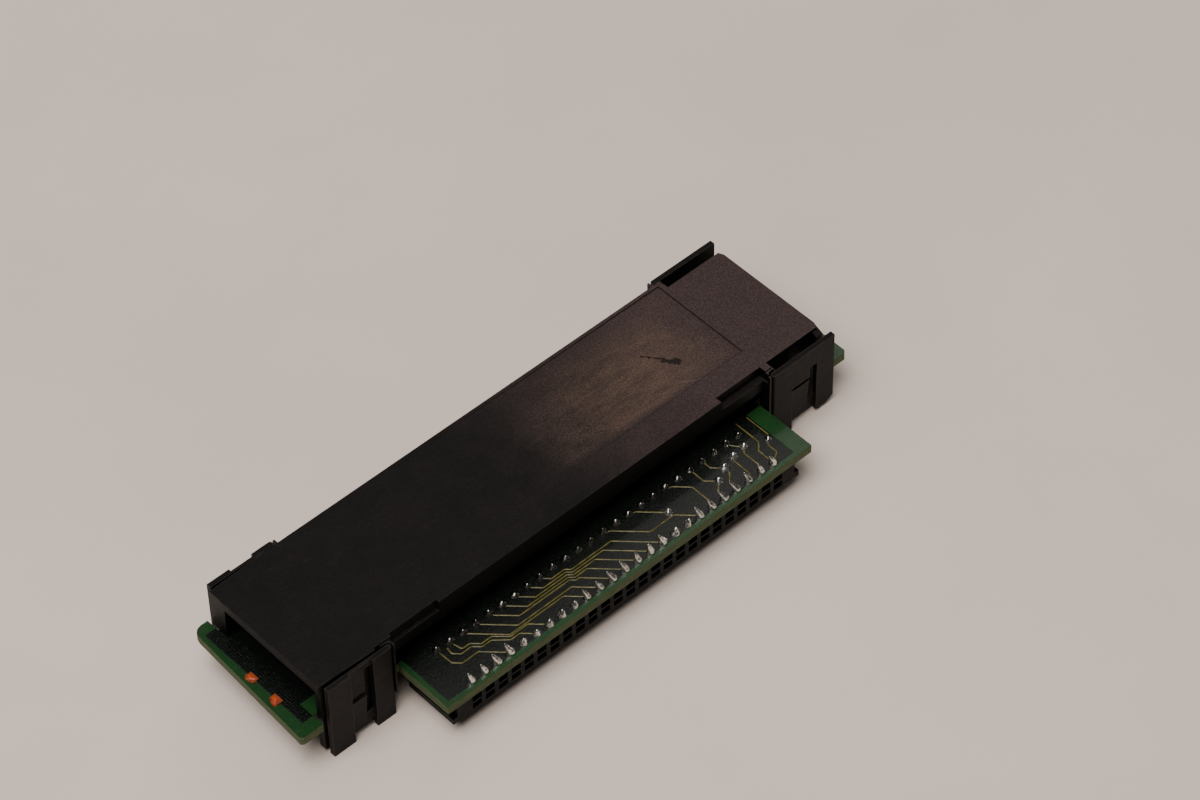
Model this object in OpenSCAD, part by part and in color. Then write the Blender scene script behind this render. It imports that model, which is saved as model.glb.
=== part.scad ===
// Bus connector module for a modular controller: clip-on cover with four side latches over a
// T-shaped circuit board that carries a side receptacle, a base receptacle and driver circuits.
// Millimetres, +X along the length, side receptacle toward -Y, +Z up, base of the latches at Z = 0.

/* [Overall] */
// Length of the cover
cover_len = 101.4; // [84:0.2:125]
// Width over the outer faces of the latches
latch_span = 27.6; // [24:0.2:34]
// Height from the latch feet to the top of the cover
total_h = 15.5; // [13:0.1:19]
// How far the board stands out past each end of the cover
board_overhang = 4.3; // [3.5:0.1:7]
// How much shorter the near overhang is at its left corner
tongue_slant = 1.2; // [0:0.1:1.6]
// How far the side board stands out past the right latch faces
side_reach = 9.45; // [8.8:0.05:14]

/* [Cover] */
// Wall and roof thickness
wall = 1.5; // [1:0.1:2]
// Depth of the label recess in the roof
label_depth = 0.25; // [0.1:0.05:0.6]
// Length of the grip notches in the right edge
notch_len = 9.2; // [6:0.1:12]
// Depth of the grip notches
notch_depth = 1.2; // [0.6:0.1:1.4]

/* [Latches] */
// Length of a near latch along X; the far ones are 1 longer
latch_len = 12.1; // [10:0.1:15]
// Thickness of the latch plate
latch_t = 0.9; // [0.8:0.05:1.3]
// height at which the open part of the slot in each latch starts
slot_foot = 3.8; // [2.8:0.1:6]
// Gap behind the two latches at the far end
far_gap = 1.8; // [1.6:0.1:2.4]
// Gap behind the two latches at the near end
near_gap = 0.3; // [0.2:0.05:0.8]

/* [Board] */
// Thickness of the circuit board
board_t = 1.6; // [1:0.1:2.4]
// Height of the board's top face over the latch feet
board_top = 8.1; // [7:0.1:9.5]
// Contact pitch
pitch = 2.54; // [2:0.01:2.6]
// Distance between the two rows of solder tails of the side receptacle
row_gap = 7.62; // [5.08:0.01:8]

/* [Receptacles] */
// Height of the side receptacle body
side_h = 3.7; // [3.4:0.1:4.6]
// Depth of the side receptacle body
side_d = 9.85; // [8.8:0.05:11]
// Width of the base receptacle body
base_w = 8.3; // [7:0.1:10]
// Clearance of the base receptacle over the latch feet
base_lift = 0.5; // [0.2:0.1:2]

/* [Hidden] */
$fn = 32;
half = cover_len / 2;
span_y = latch_span + side_reach;
right_y = side_reach - span_y / 2;
left_y = span_y / 2;
axis_y = (right_y + left_y) / 2;
board_y = -span_y / 2;
board_bot = board_top - board_t;
board_half = half + board_overhang;
ways = floor((cover_len - 40.35) / pitch) + 1;
first_x = 0.33 - (ways - 1) * pitch / 2;
front_y = board_y + 1.45;
rear_y = front_y + row_gap;
mid_r = right_y + 1.5;
mid_l = left_y - 1.3;
far_r = right_y + latch_t + far_gap;
far_l = left_y - latch_t - far_gap - 0.4;
near_r = right_y + latch_t + near_gap;
near_left_y = left_y - 0.15;
near_l = near_left_y - latch_t - near_gap;
near_x0 = -half + 0.7;
near_x1 = near_x0 + latch_len;
far_x1 = half + 0.9;
far_x0 = far_x1 - latch_len - 1;
side_x0 = -half + 14.75;
side_x1 = half - 13.2;
lip_h = 4.0;
cavity_top = total_h - wall;
knuckle = latch_t / 2;
seat = knuckle + 0.3;
cell_w = 1.75;
cell_h = 1.15;
upper_z = board_bot - 1.15;
lower_z = board_bot - 2.7;
face_y = board_y + 0.35;
back_y = face_y + side_d;

module box(x0, x1, y0, y1, z0, z1) {
  translate([x0, y0, z0])
    cube([x1 - x0, y1 - y0, z1 - z0]);
}

// Cover ---------------------------------------------------------------

module roof_plan() {
  polygon([
    [-half, near_r + 0.25], [near_x1 - 2.2, near_r - 0.1], [near_x1 - 2.2, mid_r],
    [far_x0 + 1.0, mid_r], [far_x0 + 1.0, far_r], [half - 0.4, far_r], [half, far_r + 0.9],
    [half, far_l - 0.9], [half - 0.4, far_l], [far_x0 + 1.0, far_l], [far_x0 + 1.0, mid_l],
    [near_x1 - 2.2, mid_l], [near_x1 - 2.2, near_l + 0.1], [-half, near_l - 0.25]
  ]);
}

// Bracket that holds the root of a latch: X runs from the latch toward the middle of the cover,
// Y from the latch toward the cover's wall, and the latch's knuckle turns on the local Z axis.
module bracket(ax, ay, flip_x, flip_y) {
  translate([ax, ay, 0])
    mirror([flip_x, 0, 0])
      mirror([0, flip_y, 0])
        difference() {
          box(-seat, knuckle + 0.6, -0.3, mid_r + 0.6 - right_y - knuckle, 4.2, total_h - 0.3);
          cylinder(h = 30, r = seat);
          box(-3, 0, -seat, seat, 0, 30);
        }
}

module cover() {
  color("#1b1b1c")
    difference() {
      union() {
        translate([0, 0, cavity_top])
          linear_extrude(wall)
            roof_plan();
        // right wall with its overhanging lip
        box(near_x1 - 2, far_x0 + 2, mid_r, mid_r + 1.35 + 1.2, total_h - lip_h, cavity_top);
        box(near_x1 - 2, far_x0 + 2, mid_r + 1.35, mid_r + 1.35 + 1.2, board_top, cavity_top);
        // left wall reaches down past the edge of the board
        box(near_x1 - 2, far_x0 + 2, mid_l - wall, mid_l, 4.0, cavity_top);
        for (x = [-0.28, 0.02, 0.32])
          box(x * cover_len - 3, x * cover_len + 3, mid_l - wall - 0.9, mid_l - wall, 5.0, board_bot);
        // guard legs behind the latches
        box(-half + 0.4, near_x1 - 1.9, near_r + 0.25, near_r + 1.55, 0.8, cavity_top);
        box(-half + 0.4, near_x1 - 1.9, near_l - 1.55, near_l - 0.25, 0.8, cavity_top);
        box(far_x0 + 1.9, half, far_r, far_r + 1.3, 0.8, cavity_top);
        box(far_x0 + 1.9, half, far_l - 1.3, far_l, 0.8, cavity_top);
        // end walls
        box(-half + 2.4, -half + 3.7, near_r + 0.5, near_l - 0.5, board_top, cavity_top);
        box(-half, -half + 3.4, near_l - 3.6, near_l - 0.25, board_top, cavity_top);
        box(half - 1.3, half, far_r + 0.9, far_l - 0.9, board_top, cavity_top);
        // sloped stop between the end wall and the right latch
        translate([half - 1.3, 0, 0])
          rotate([90, 0, 90])
            linear_extrude(1.3)
              polygon([[far_r + 1, board_top], [far_r - 0.9, board_top], [far_r - 0.9, total_h - 0.9],
                       [far_r + 0.95, total_h - 0.1]]);
        // cross walls that close the cavity beside the notches
        box(near_x1 - 2.2, near_x1 - 0.9, near_r + 0.3, mid_r + 2.55, board_top, cavity_top);
        box(far_x0 + 0.9, far_x0 + 2.2, mid_r + 1.35, far_r + 1, board_top, cavity_top);
        // bosses that press on the board
        for (x = [-half + 8, half - 8])
          translate([x, axis_y, board_top])
            cylinder(h = cavity_top - board_top, r = 2);
        bracket(near_x1 - knuckle, right_y + knuckle, 0, 0);
        bracket(near_x1 - knuckle, near_left_y - knuckle, 0, 1);
        bracket(far_x0 + knuckle, right_y + knuckle, 1, 0);
        bracket(far_x0 + knuckle, left_y - knuckle, 1, 1);
      }
      // grip notches in the right edge
      box(near_x1 + 1, near_x1 + 1 + notch_len, mid_r - 1, mid_r + notch_depth / 2,
          total_h - 1.9, total_h + 1);
      box(far_x0 - 0.3 - notch_len, far_x0 - 0.3, mid_r - 1, mid_r + notch_depth, total_h - 1.9, total_h + 1);
      // label recess, deepest at the far end and running out to nothing toward the near one
      translate([0, mid_l - 0.6, total_h])
        rotate([90, 0, 0])
          linear_extrude(mid_l - mid_r - 6.1)
            polygon([[-half + 30, 0], [half - 12.1, -label_depth], [half - 12.1, 1], [-half + 30, 1]]);
    }
}

// Latches -------------------------------------------------------------

// Plate seen from outside: outer face on Y = 0, body toward +Y, X from 0 to len.
module latch_plate(len, top, root_left, open_top) {
  strip_x = len - 3.7;
  recess_x = 4.2;
  foot = root_left ? 0.7 : 0;
  difference() {
    union() {
      translate([0, latch_t, 0])
        rotate([90, 0, 0])
          linear_extrude(latch_t)
            polygon([
              [root_left ? knuckle : 0.25, 0], [recess_x, 0], [strip_x, foot],
              [len - 1.4, foot], [root_left ? len : len - knuckle, foot * 2],
              [root_left ? len : len - knuckle, top],
              [root_left ? knuckle : 0, top], [root_left ? knuckle : 0, 0.3]
            ]);
      translate([root_left ? knuckle : len - knuckle, knuckle, foot * (root_left ? 0 : 2)])
        cylinder(h = top - foot * (root_left ? 0 : 2), r = knuckle);
    }
    // slot beside the strip, open above slot_foot and blind below it
    box(strip_x - 1.5, strip_x, -1, latch_t + 1, slot_foot, open_top ? top - 1.2 : 11.3);
    box(strip_x - 1.5, strip_x, -1, latch_t - 0.25, 2.2, slot_foot + 0.5);
    // ramp that sinks into the plate toward the foot
    translate([recess_x, 0, 0])
      rotate([90, 0, 90])
        linear_extrude(strip_x - recess_x)
          polygon([[-1, -1], [latch_t * 0.7, -1], [latch_t * 0.7, 2.0], [0.15, 8.4], [latch_t * 0.7, 8.4],
                   [latch_t * 0.7, 9.2], [-1, 9.2]]);
    // open channel above the ramp
    if (open_top)
      box(recess_x, strip_x, -1, latch_t / 2, 9.2, top + 1);
    // notch in the foot
    box(recess_x, strip_x, -1, latch_t + 1, -1, 1.0);
  }
}

module latch_near_right() {
  color("#202021")
    translate([near_x0, right_y, 0])
      latch_plate(latch_len, total_h - 0.25, false, true);
}

module latch_near_left() {
  color("#202021")
    translate([near_x0, near_left_y, 0])
      mirror([0, 1, 0])
        latch_plate(latch_len, total_h - 0.25, false, true);
}

module latch_far_right() {
  color("#202021")
    translate([far_x0, right_y, 0])
      latch_plate(latch_len + 1, total_h - 0.5, true, false);
}

module latch_far_left() {
  color("#202021")
    translate([far_x0, left_y, 0])
      mirror([0, 1, 0])
        latch_plate(latch_len + 1, total_h - 0.5, true, false);
}

// Board ---------------------------------------------------------------

// Corners of one end of the board: the bare tongue past the cover and the part under the cover up
// to x_in. Slant is how much shorter the tongue is on the left side, r the radius of its corner.
function end_points(slant, r, x_neck, x_in, low, high) =
  let (x0 = -board_half, x1 = -board_half + slant, y0 = right_y + 0.65, y1 = left_y - 0.6)
  [
    [x_in, high], [x_neck, high], [x_neck, y1], [x1 + r, y1], [x1 + r * 0.5, y1 - r * 0.134],
    [x1 + r * 0.134, y1 - r * 0.5], [x1, y1 - r], [x0, y0 + 0.4], [x0 + 0.4, y0], [x_neck, y0],
    [x_neck, low], [x_in, low]
  ];

module square_from(x0, x1, y0, y1) {
  translate([x0, y0])
    square([x1 - x0, y1 - y0]);
}

near_end = end_points(tongue_slant, 1.5, -half - 0.25, near_x1 + 1.3, near_r + 1.75, near_l - 1.75);
far_end = end_points(0, 1.2, -far_x1 - 0.5, -far_x0 + 1.3, far_r + 1.5, far_l - 1.5);

module board_plan() {
  union() {
    polygon(near_end);
    polygon([for (i = [len(far_end) - 1 : -1 : 0]) [-far_end[i][0], far_end[i][1]]]);
    square_from(near_x1 + 1.2, far_x0 - 1.2, mid_r, mid_l - wall - 0.2);
    square_from(side_x0, side_x1, board_y, mid_r + 1);
  }
}

module board() {
  color("#1f5a33")
    difference() {
      translate([0, 0, board_bot])
        linear_extrude(board_t)
          board_plan();
      for (i = [0 : ways - 1])
        for (y = [front_y, rear_y, axis_y - pitch / 2, axis_y + pitch / 2])
          box(first_x + i * pitch - 0.36, first_x + i * pitch + 0.36, y - 0.28, y + 0.28, 0, 20);
    }
}

// Side receptacle -----------------------------------------------------

module side_socket() {
  x0 = first_x - 3.8;
  x1 = first_x + (ways - 1) * pitch + 3.5;
  color("#151516")
    difference() {
      union() {
        box(x0, x1, face_y, back_y, board_bot - side_h, board_bot);
        box(x0 - 0.9, x1 + 0.9, face_y, back_y, board_bot - side_h, board_bot - side_h + 1.1);
      }
      for (i = [0 : ways - 1]) {
        x = first_x + i * pitch;
        box(x - cell_w / 2, x + cell_w / 2, face_y - 1, face_y + 3,
            upper_z - cell_h / 2, upper_z + cell_h / 2);
        box(x - cell_w / 2, x + cell_w / 2, face_y - 1, face_y + 3,
            lower_z - cell_h / 2, lower_z + cell_h / 2);
        box(x - 0.36, x + 0.36, front_y - 0.28, front_y + 0.28, upper_z, board_bot + 1);
        box(x - 0.36, x + 0.36, face_y + 2, rear_y + 0.28, lower_z - 0.2, lower_z + 0.2);
        box(x - 0.36, x + 0.36, rear_y - 0.28, rear_y + 0.28, lower_z - 0.2, board_bot + 1);
      }
    }
}

module side_contacts_upper() {
  color("#c9a24a")
    for (i = [0 : ways - 1]) {
      x = first_x + i * pitch;
      union() {
        box(x - 0.32, x + 0.32, front_y - 0.2, front_y + 0.2, upper_z - 0.12, board_top + 1.9);
        box(x - 0.32, x + 0.32, front_y - 0.2, face_y + 2.8, upper_z - 0.12, upper_z + 0.12);
      }
    }
}

module side_contacts_lower() {
  color("#c9a24a")
    for (i = [0 : ways - 1]) {
      x = first_x + i * pitch;
      union() {
        box(x - 0.32, x + 0.32, rear_y - 0.2, rear_y + 0.2, lower_z - 0.12, board_top + 1.6);
        box(x - 0.32, x + 0.32, face_y + 0.9, rear_y + 0.2, lower_z - 0.12, lower_z + 0.12);
      }
    }
}

module solder_cone(h, r) {
  difference() {
    cylinder(h = h, r1 = r, r2 = 0.48);
    box(-0.34, 0.34, -0.22, 0.22, -1, 5);
  }
}

module side_solder_front() {
  color("#b9bcc0")
    for (i = [0 : ways - 1])
      translate([first_x + i * pitch, front_y, board_top])
        solder_cone(1.3, 0.9);
}

module side_solder_rear() {
  color("#b9bcc0")
    for (i = [0 : ways - 1])
      translate([first_x + i * pitch, rear_y, board_top])
        solder_cone(1.0, 0.9);
}

module test_posts() {
  color("#b9bcc0")
    for (p = [[-half + 84.25, 5.4], [-half + 80.55, 6.9], [-half + 77.95, 6.45],
              [-half + 75.35, 5.75], [-half + 72.9, 4.45], [-half + 63.25, 5.1]])
      translate([p[0], board_y + p[1], board_top]) {
        cylinder(h = 0.5, r1 = 0.85, r2 = 0.6);
        translate([0, 0, 0.5])
          cylinder(h = 0.4, r1 = 0.6, r2 = 0.3);
      }
}

// Base receptacle -----------------------------------------------------

module base_socket() {
  x0 = first_x - 3.3;
  x1 = first_x + (ways - 1) * pitch + 3.3;
  color("#151516")
    difference() {
      union() {
        box(x0, x1, axis_y - base_w / 2, axis_y + base_w / 2, base_lift, board_bot);
        box(x0 - 1.2, x0 + 0.5, axis_y - 1.5, axis_y + 1.5, base_lift + 1.2, board_bot);
      }
      for (i = [0 : ways - 1])
        for (s = [-1, 1]) {
          x = first_x + i * pitch;
          y = axis_y + s * pitch / 2;
          box(x - 0.55, x + 0.55, y - 0.55, y + 0.55, -1, base_lift + 4);
          box(x - 0.36, x + 0.36, y - 0.28, y + 0.28, base_lift + 3, board_bot + 1);
        }
    }
}

module base_contacts() {
  color("#c9a24a")
    for (i = [0 : ways - 1])
      for (s = [-1, 1]) {
        x = first_x + i * pitch;
        y = axis_y + s * pitch / 2;
        box(x - 0.32, x + 0.32, y - 0.2, y + 0.2, base_lift + 2.2, board_top + 1.2);
      }
}

module base_solder() {
  color("#b9bcc0")
    for (i = [0 : ways - 1])
      for (s = [-1, 1])
        translate([first_x + i * pitch, axis_y + s * pitch / 2, board_top])
          solder_cone(0.9, 0.8);
}

// Circuit parts under the cover ---------------------------------------

chip_x = [-29, -10, 10, 29];
chip_y = axis_y + 6.9;

module driver_chips() {
  color("#232326")
    for (x = chip_x)
      difference() {
        box(x - 4.95, x + 4.95, chip_y - 1.95, chip_y + 1.95, board_top + 0.2, board_top + 1.7);
        translate([x - 4.1, chip_y - 1.1, board_top + 1.55])
          cylinder(h = 1, r = 0.45);
      }
}

module lead() {
  rotate([90, 0, 90])
    translate([0, 0, -0.21])
      linear_extrude(0.42)
        polygon([[0, 0.8], [0.45, 0.8], [0.6, 0.15], [1.15, 0.15], [1.15, 0],
                 [0.48, 0], [0.33, 0.62], [0, 0.62]]);
}

module driver_leads() {
  color("#c2c4c8")
    for (x = chip_x)
      for (i = [0 : 7]) {
        translate([x - 4.445 + i * 1.27, chip_y + 1.95, board_top])
          lead();
        translate([x - 4.445 + i * 1.27, chip_y - 1.95, board_top])
          mirror([0, 1, 0])
            lead();
      }
}

net_x = [-24, 18];
net_y = axis_y - 6.0;

module resistor_networks() {
  color("#2b2a2e")
    for (x = net_x)
      box(x - 11.2, x + 11.2, net_y - 1.1, net_y + 1.1, board_top + 0.4, board_top + 4.9);
}

module resistor_leads() {
  color("#c2c4c8")
    for (x = net_x)
      for (i = [0 : 8])
        box(x + (i - 4) * 2.54 - 0.25, x + (i - 4) * 2.54 + 0.25, net_y - 0.13, net_y + 0.13,
            board_top, board_top + 0.4);
}

cap_spots = [[-19.5, 6.9], [0, 6.9], [19.5, 6.9], [37.0, 3.0]];

module bypass_capacitors() {
  color("#b08d68")
    for (p = cap_spots)
      box(p[0] - 0.6, p[0] + 0.6, axis_y + p[1] - 0.62, axis_y + p[1] + 0.62, board_top, board_top + 0.8);
}

module capacitor_ends() {
  color("#c8c9cc")
    for (p = cap_spots)
      for (s = [-1, 1])
        box(p[0] + s * 0.8 - 0.2, p[0] + s * 0.8 + 0.2, axis_y + p[1] - 0.65, axis_y + p[1] + 0.65,
            board_top, board_top + 0.85);
}

module tank_capacitor() {
  color("#a8842f")
    difference() {
      box(-half + 11.9, -half + 18.7, axis_y - 2.1, axis_y + 2.1, board_top, board_top + 2.8);
      box(-half + 11.8, -half + 12.3, axis_y - 1.2, axis_y + 1.2, board_top - 1, board_top + 1.5);
      box(-half + 18.3, -half + 18.8, axis_y - 1.2, axis_y + 1.2, board_top - 1, board_top + 1.5);
    }
}

module tank_terminals() {
  color("#c8c9cc") {
    box(-half + 11.7, -half + 12.3, axis_y - 1.2, axis_y + 1.2, board_top, board_top + 1.5);
    box(-half + 18.3, -half + 18.9, axis_y - 1.2, axis_y + 1.2, board_top, board_top + 1.5);
  }
}

lamp_y = [-0.45, 5.05];
lamp_x = -half - 2.4;
// length and width of a lamp body; the lens stands lens_inset inside it
lamp_l = 1.8;
lamp_w = 1.2;
lens_inset = 0.2;

module status_lamps() {
  color("#d8d2c0")
    for (y = lamp_y)
      box(lamp_x - lamp_w / 2, lamp_x + lamp_w / 2, y - lamp_l / 2, y + lamp_l / 2,
          board_top, board_top + 0.35);
}

module status_lenses() {
  color("#f0561c")
    for (y = lamp_y)
      box(lamp_x - lamp_w / 2 + lens_inset, lamp_x + lamp_w / 2 - lens_inset, y - lamp_l / 2 + lens_inset,
          y + lamp_l / 2 - lens_inset, board_top + 0.35, board_top + 0.85);
}

cover();
latch_near_right();
latch_near_left();
latch_far_right();
latch_far_left();
board();
side_socket();
side_contacts_upper();
side_contacts_lower();
side_solder_front();
side_solder_rear();
test_posts();
base_socket();
base_contacts();
base_solder();
driver_chips();
driver_leads();
resistor_networks();
resistor_leads();
bypass_capacitors();
capacitor_ends();
tank_capacitor();
tank_terminals();
status_lamps();
status_lenses();
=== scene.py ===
import bpy
import bmesh
import math
from mathutils import Matrix, Vector
from mathutils import noise as hn


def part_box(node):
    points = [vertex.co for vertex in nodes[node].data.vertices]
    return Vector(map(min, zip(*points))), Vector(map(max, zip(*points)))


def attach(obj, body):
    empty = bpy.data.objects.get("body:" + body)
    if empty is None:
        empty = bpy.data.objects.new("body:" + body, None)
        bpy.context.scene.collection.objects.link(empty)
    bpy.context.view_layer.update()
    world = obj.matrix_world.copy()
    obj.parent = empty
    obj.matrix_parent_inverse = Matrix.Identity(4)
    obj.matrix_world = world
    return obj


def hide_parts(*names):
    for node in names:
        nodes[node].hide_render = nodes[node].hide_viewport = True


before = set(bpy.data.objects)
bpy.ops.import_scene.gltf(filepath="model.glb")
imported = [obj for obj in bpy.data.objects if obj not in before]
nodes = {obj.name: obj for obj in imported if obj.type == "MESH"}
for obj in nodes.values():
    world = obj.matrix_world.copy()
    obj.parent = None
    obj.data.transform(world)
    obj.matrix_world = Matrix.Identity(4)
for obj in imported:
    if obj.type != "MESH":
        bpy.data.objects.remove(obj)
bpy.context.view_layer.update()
mm = 0.001
print("frame loaded with", len(nodes), "nodes")


# small helpers for shader trees

def addNode(tree, kind, x=0, y=0, **values):
    node = tree.nodes.new(kind)
    node.location = (x, y)
    for key, value in values.items():
        setattr(node, key, value)
    return node


def math2(tree, operation, a, b=None, clamp=False):
    node = addNode(tree, "ShaderNodeMath", operation=operation, use_clamp=clamp)
    for index, value in enumerate((a, b)):
        if value is None:
            continue
        if isinstance(value, (int, float)):
            node.inputs[index].default_value = value
        else:
            tree.links.new(value, node.inputs[index])
    return node.outputs[0]


def mixColor(tree, factor, a, b, blend="MIX"):
    node = addNode(tree, "ShaderNodeMix", data_type="RGBA", blend_type=blend)
    for socket, value in ((node.inputs[0], factor), (node.inputs[6], a), (node.inputs[7], b)):
        if isinstance(value, (int, float)):
            socket.default_value = value
        elif isinstance(value, tuple):
            socket.default_value = (*value, 1.0)
        else:
            tree.links.new(value, socket)
    return node.outputs[2]


def ramp(tree, value, low, high, outLow=0.0, outHigh=1.0, smooth=True):
    node = addNode(tree, "ShaderNodeMapRange", interpolation_type="SMOOTHSTEP" if smooth else "LINEAR")
    tree.links.new(value, node.inputs[0])
    for index, number in enumerate((low, high, outLow, outHigh), start=1):
        node.inputs[index].default_value = number
    return node.outputs[0]


def millimetres(tree):
    coords = addNode(tree, "ShaderNodeTexCoord")
    scale = addNode(tree, "ShaderNodeVectorMath", operation="SCALE")
    tree.links.new(coords.outputs["Object"], scale.inputs[0])
    scale.inputs["Scale"].default_value = 1000.0
    return scale.outputs[0]


def noise(tree, vector, scale, detail=3.0, roughness=0.55, distortion=0.0):
    node = addNode(tree, "ShaderNodeTexNoise")
    tree.links.new(vector, node.inputs["Vector"])
    if isinstance(scale, (int, float)):
        node.inputs["Scale"].default_value = scale
    else:
        tree.links.new(scale, node.inputs["Scale"])
    node.inputs["Detail"].default_value = detail
    node.inputs["Roughness"].default_value = roughness
    node.inputs["Distortion"].default_value = distortion
    return node.outputs["Fac"]


def newGroup(name, inputs, outputs):
    group = bpy.data.node_groups.new(name, "ShaderNodeTree")
    for label, value in inputs:
        socket = group.interface.new_socket(label, in_out="INPUT", socket_type="NodeSocketFloat")
        socket.default_value = value
    for label, kind in outputs:
        group.interface.new_socket(label, in_out="OUTPUT", socket_type=kind)
    return group, addNode(group, "NodeGroupInput", -900), addNode(group, "NodeGroupOutput", 900)


def useGroup(tree, group, **values):
    node = addNode(tree, "ShaderNodeGroup", node_tree=group)
    for key, value in values.items():
        if isinstance(value, (int, float)):
            node.inputs[key].default_value = value
        else:
            tree.links.new(value, node.inputs[key])
    return node


# shader groups that several materials share

# spark-eroded mould texture: a fine pebble with a little coarser unevenness
mouldGrain, gIn, gOut = newGroup("mouldGrain", [("Size", 0.25), ("Coarse", 0.3)],
                                 [("Height", "NodeSocketFloat"), ("Tone", "NodeSocketFloat")])
where = millimetres(mouldGrain)
fineScale = math2(mouldGrain, "DIVIDE", 1.0, gIn.outputs["Size"])
pebble = addNode(mouldGrain, "ShaderNodeTexVoronoi", feature="SMOOTH_F1")
pebble.inputs["Smoothness"].default_value = 0.6
mouldGrain.links.new(where, pebble.inputs["Vector"])
mouldGrain.links.new(fineScale, pebble.inputs["Scale"])
grit = noise(mouldGrain, where, math2(mouldGrain, "MULTIPLY", fineScale, 1.7), 2.0, 0.7)
broad = noise(mouldGrain, where, 0.35, 3.0, 0.5)
height = math2(mouldGrain, "ADD", math2(mouldGrain, "MULTIPLY", pebble.outputs["Distance"], 0.6),
               math2(mouldGrain, "MULTIPLY", grit, 0.8))
height = math2(mouldGrain, "ADD", height, math2(mouldGrain, "MULTIPLY", broad, gIn.outputs["Coarse"]))
mouldGrain.links.new(height, gOut.inputs["Height"])
mouldGrain.links.new(ramp(mouldGrain, grit, 0.3, 0.7), gOut.inputs["Tone"])

# rubbed edges with a painted edge highlight: where a rounded normal leaves the real one, broken up by noise
edgeWearAndHighlight, gIn, gOut = newGroup("edgeWearAndHighlight", [("Amount", 1.0), ("Breakup", 0.5), ("Scale", 0.8)],
                               [("Mask", "NodeSocketFloat")])
rounded = addNode(edgeWearAndHighlight, "ShaderNodeBevel", samples=6)
rounded.inputs["Radius"].default_value = 0.35 * mm
plain = addNode(edgeWearAndHighlight, "ShaderNodeNewGeometry")
dot = addNode(edgeWearAndHighlight, "ShaderNodeVectorMath", operation="DOT_PRODUCT")
edgeWearAndHighlight.links.new(rounded.outputs[0], dot.inputs[0])
edgeWearAndHighlight.links.new(plain.outputs["Normal"], dot.inputs[1])
edge = ramp(edgeWearAndHighlight, math2(edgeWearAndHighlight, "SUBTRACT", 1.0, dot.outputs["Value"]), 0.02, 0.22)
patchy = noise(edgeWearAndHighlight, millimetres(edgeWearAndHighlight), gIn.outputs["Scale"], 4.0, 0.65)
patchy = ramp(edgeWearAndHighlight, patchy, 0.38, 0.62)
keep = math2(edgeWearAndHighlight, "SUBTRACT", 1.0, gIn.outputs["Breakup"])
patchy = math2(edgeWearAndHighlight, "ADD", math2(edgeWearAndHighlight, "MULTIPLY", patchy, gIn.outputs["Breakup"]), keep)
wornAndHighlit = math2(edgeWearAndHighlight, "MULTIPLY", math2(edgeWearAndHighlight, "MULTIPLY", edge, patchy), gIn.outputs["Amount"], True)
edgeWearAndHighlight.links.new(wornAndHighlit, gOut.inputs["Mask"])

# dust that settles on faces that look up, in clouds with fine specks
dustFilm, gIn, gOut = newGroup("dustFilm", [("Amount", 0.5), ("Cloud", 0.12), ("Speck", 4.0)],
                               [("Mask", "NodeSocketFloat")])
where = millimetres(dustFilm)
cloud = ramp(dustFilm, noise(dustFilm, where, gIn.outputs["Cloud"], 5.0, 0.6), 0.3, 0.75)
speck = ramp(dustFilm, noise(dustFilm, where, gIn.outputs["Speck"], 2.0, 0.8), 0.45, 0.8)
facing = addNode(dustFilm, "ShaderNodeSeparateXYZ")
plain = addNode(dustFilm, "ShaderNodeNewGeometry")
dustFilm.links.new(plain.outputs["Normal"], facing.inputs[0])
up = ramp(dustFilm, facing.outputs["Z"], 0.2, 0.9)
film = math2(dustFilm, "ADD", math2(dustFilm, "MULTIPLY", cloud, 0.65),
             math2(dustFilm, "MULTIPLY", speck, 0.45))
film = math2(dustFilm, "MULTIPLY", math2(dustFilm, "MULTIPLY", film, up), gIn.outputs["Amount"], True)
dustFilm.links.new(film, gOut.inputs["Mask"])

# fine handling scratches that run mostly along X
scratchLines, gIn, gOut = newGroup("scratchLines", [("Amount", 1.0), ("Density", 0.5), ("Turn", 0.0)],
                                   [("Mask", "NodeSocketFloat")])
turned = addNode(scratchLines, "ShaderNodeVectorRotate", rotation_type="Z_AXIS")
scratchLines.links.new(millimetres(scratchLines), turned.inputs["Vector"])
scratchLines.links.new(gIn.outputs["Turn"], turned.inputs["Angle"])
stretched = addNode(scratchLines, "ShaderNodeMapping")
stretched.inputs["Scale"].default_value = (0.09, 5.5, 5.5)
scratchLines.links.new(turned.outputs[0], stretched.inputs["Vector"])
thin = noise(scratchLines, stretched.outputs[0], 1.0, 2.0, 0.7, 0.3)
thin = ramp(scratchLines, math2(scratchLines, "ABSOLUTE", math2(scratchLines, "SUBTRACT", thin, 0.5)),
            0.012, 0.0)
gate = noise(scratchLines, millimetres(scratchLines), 0.25, 3.0, 0.6)
gateLift = math2(scratchLines, "MULTIPLY", gIn.outputs["Density"], 0.2)
gate = ramp(scratchLines, math2(scratchLines, "ADD", gate, gateLift), 0.55, 0.7)
lines = math2(scratchLines, "MULTIPLY", math2(scratchLines, "MULTIPLY", thin, gate),
              gIn.outputs["Amount"], True)
scratchLines.links.new(lines, gOut.inputs["Mask"])

# soft-edged rectangle in the XY plane, in millimetres
rectMask, gIn, gOut = newGroup("rectMask", [("X0", 0.0), ("X1", 1.0), ("Y0", 0.0), ("Y1", 1.0), ("Soft", 0.1)],
                               [("Mask", "NodeSocketFloat")])
split = addNode(rectMask, "ShaderNodeSeparateXYZ")
rectMask.links.new(millimetres(rectMask), split.inputs[0])
sides = []
for axis, low, high in (("X", "X0", "X1"), ("Y", "Y0", "Y1")):
    sides.append(math2(rectMask, "SUBTRACT", split.outputs[axis], gIn.outputs[low]))
    sides.append(math2(rectMask, "SUBTRACT", gIn.outputs[high], split.outputs[axis]))
nearest = sides[0]
for side in sides[1:]:
    nearest = math2(rectMask, "MINIMUM", nearest, side)
rectMask.links.new(math2(rectMask, "DIVIDE", nearest, gIn.outputs["Soft"], True), gOut.inputs["Mask"])

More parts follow.
